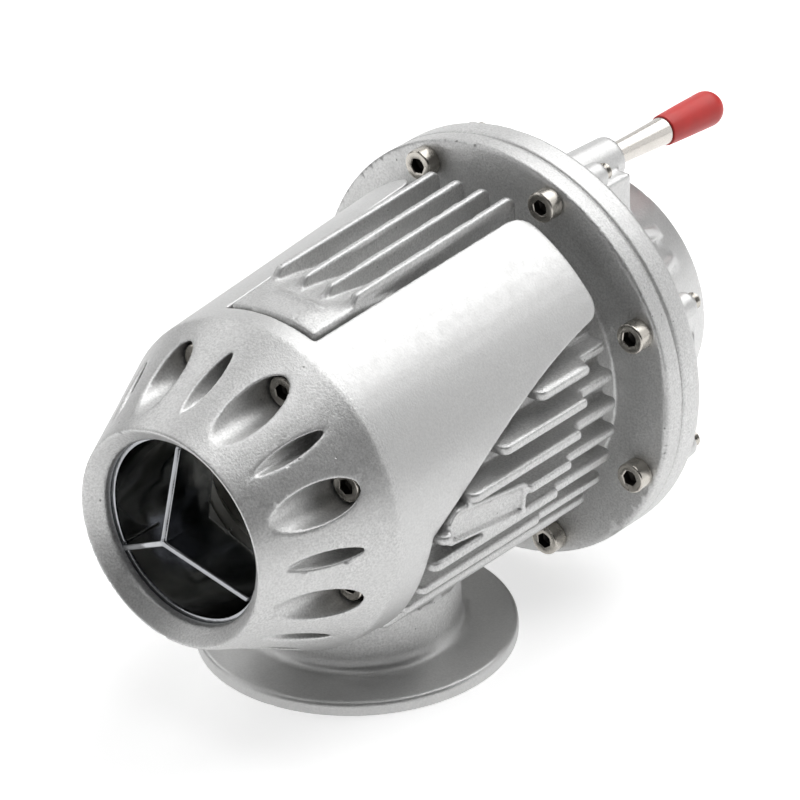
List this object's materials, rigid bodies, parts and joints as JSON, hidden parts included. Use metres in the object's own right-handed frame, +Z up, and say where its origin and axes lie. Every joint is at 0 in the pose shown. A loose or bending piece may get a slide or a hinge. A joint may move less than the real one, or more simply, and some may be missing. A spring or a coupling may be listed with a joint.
{
  "type": "blow off valve",
  "caption": "Pull-type turbo blow off valve: cone nose with a bladed outlet, swept shroud over a finned body, round inlet flange, rear diaphragm and a capped vacuum nipple.",
  "frame": {"origin": "centre of the inlet flange's lower face", "axes": "+Z up out of the inlet, +Y along the valve axis from the nose to the rear cover, +X to the side with the framed panel"},
  "size_m": [0.0776, 0.1382, 0.0781],
  "materials": {
    "housing_casting": "satin blasted casting",
    "body_casting": "satin blasted casting",
    "cover_casting": "satin blasted casting",
    "dark_chrome": "polished dark chrome",
    "screw_steel": "nickel plated",
    "bright_chrome": "polished",
    "red_rubber": "smooth soft rubber",
    "seat_alloy": "turned",
    "black_rubber": "matte",
    "valve_alloy": "turned",
    "spring_steel": "drawn wire",
    "shaft_steel": "ground",
    "bush_bronze": "sintered",
    "diaphragm_rubber": "fabric backed, matte",
    "plated_steel": "zinc plated"
  },
  "bodies": {
    "housing": {"front_housing": "housing_casting", "main_body": "body_casting", "rear_cover": "cover_casting", "discharge_insert": "dark_chrome", "housing_screws": "screw_steel", "flange_screws": "screw_steel", "hose_nipple": "bright_chrome", "seat_ring": "seat_alloy", "seat_seal": "black_rubber", "guide_bush": "bush_bronze", "shaft_seal": "black_rubber", "diaphragm": "diaphragm_rubber", "main_spring": "spring_steel"},
    "large_valve": {"secondary_valve": "valve_alloy", "secondary_seal": "black_rubber"},
    "stem": {"valve_shaft": "shaft_steel", "primary_valve": "valve_alloy", "primary_seal": "black_rubber", "shaft_collar": "shaft_steel", "pilot_spring": "spring_steel", "front_plate": "plated_steel", "rear_plate": "plated_steel", "shaft_washer": "plated_steel", "shaft_nut": "plated_steel"},
    "cap": {"nipple_cap": "red_rubber"}
  },
  "joints": [
    {"name": "large_valve_slide", "type": "slide", "parent": "housing", "child": "large_valve", "axis": [0, 1, 0], "range_m": [0, 0.0055], "stiffness_N_per_m": 1200, "deforming": ["main_spring", "diaphragm"]},
    {"name": "small_valve_slide", "type": "slide", "parent": "large_valve", "child": "stem", "axis": [0, 1, 0], "range_m": [0, 0.0025], "stiffness_N_per_m": 900, "deforming": ["pilot_spring"]},
    {"name": "cap_pull", "type": "slide", "parent": "housing", "child": "cap", "axis": [0.0459, 0.9989, -0.0106], "range_m": [0, 0.014]}
  ]
}
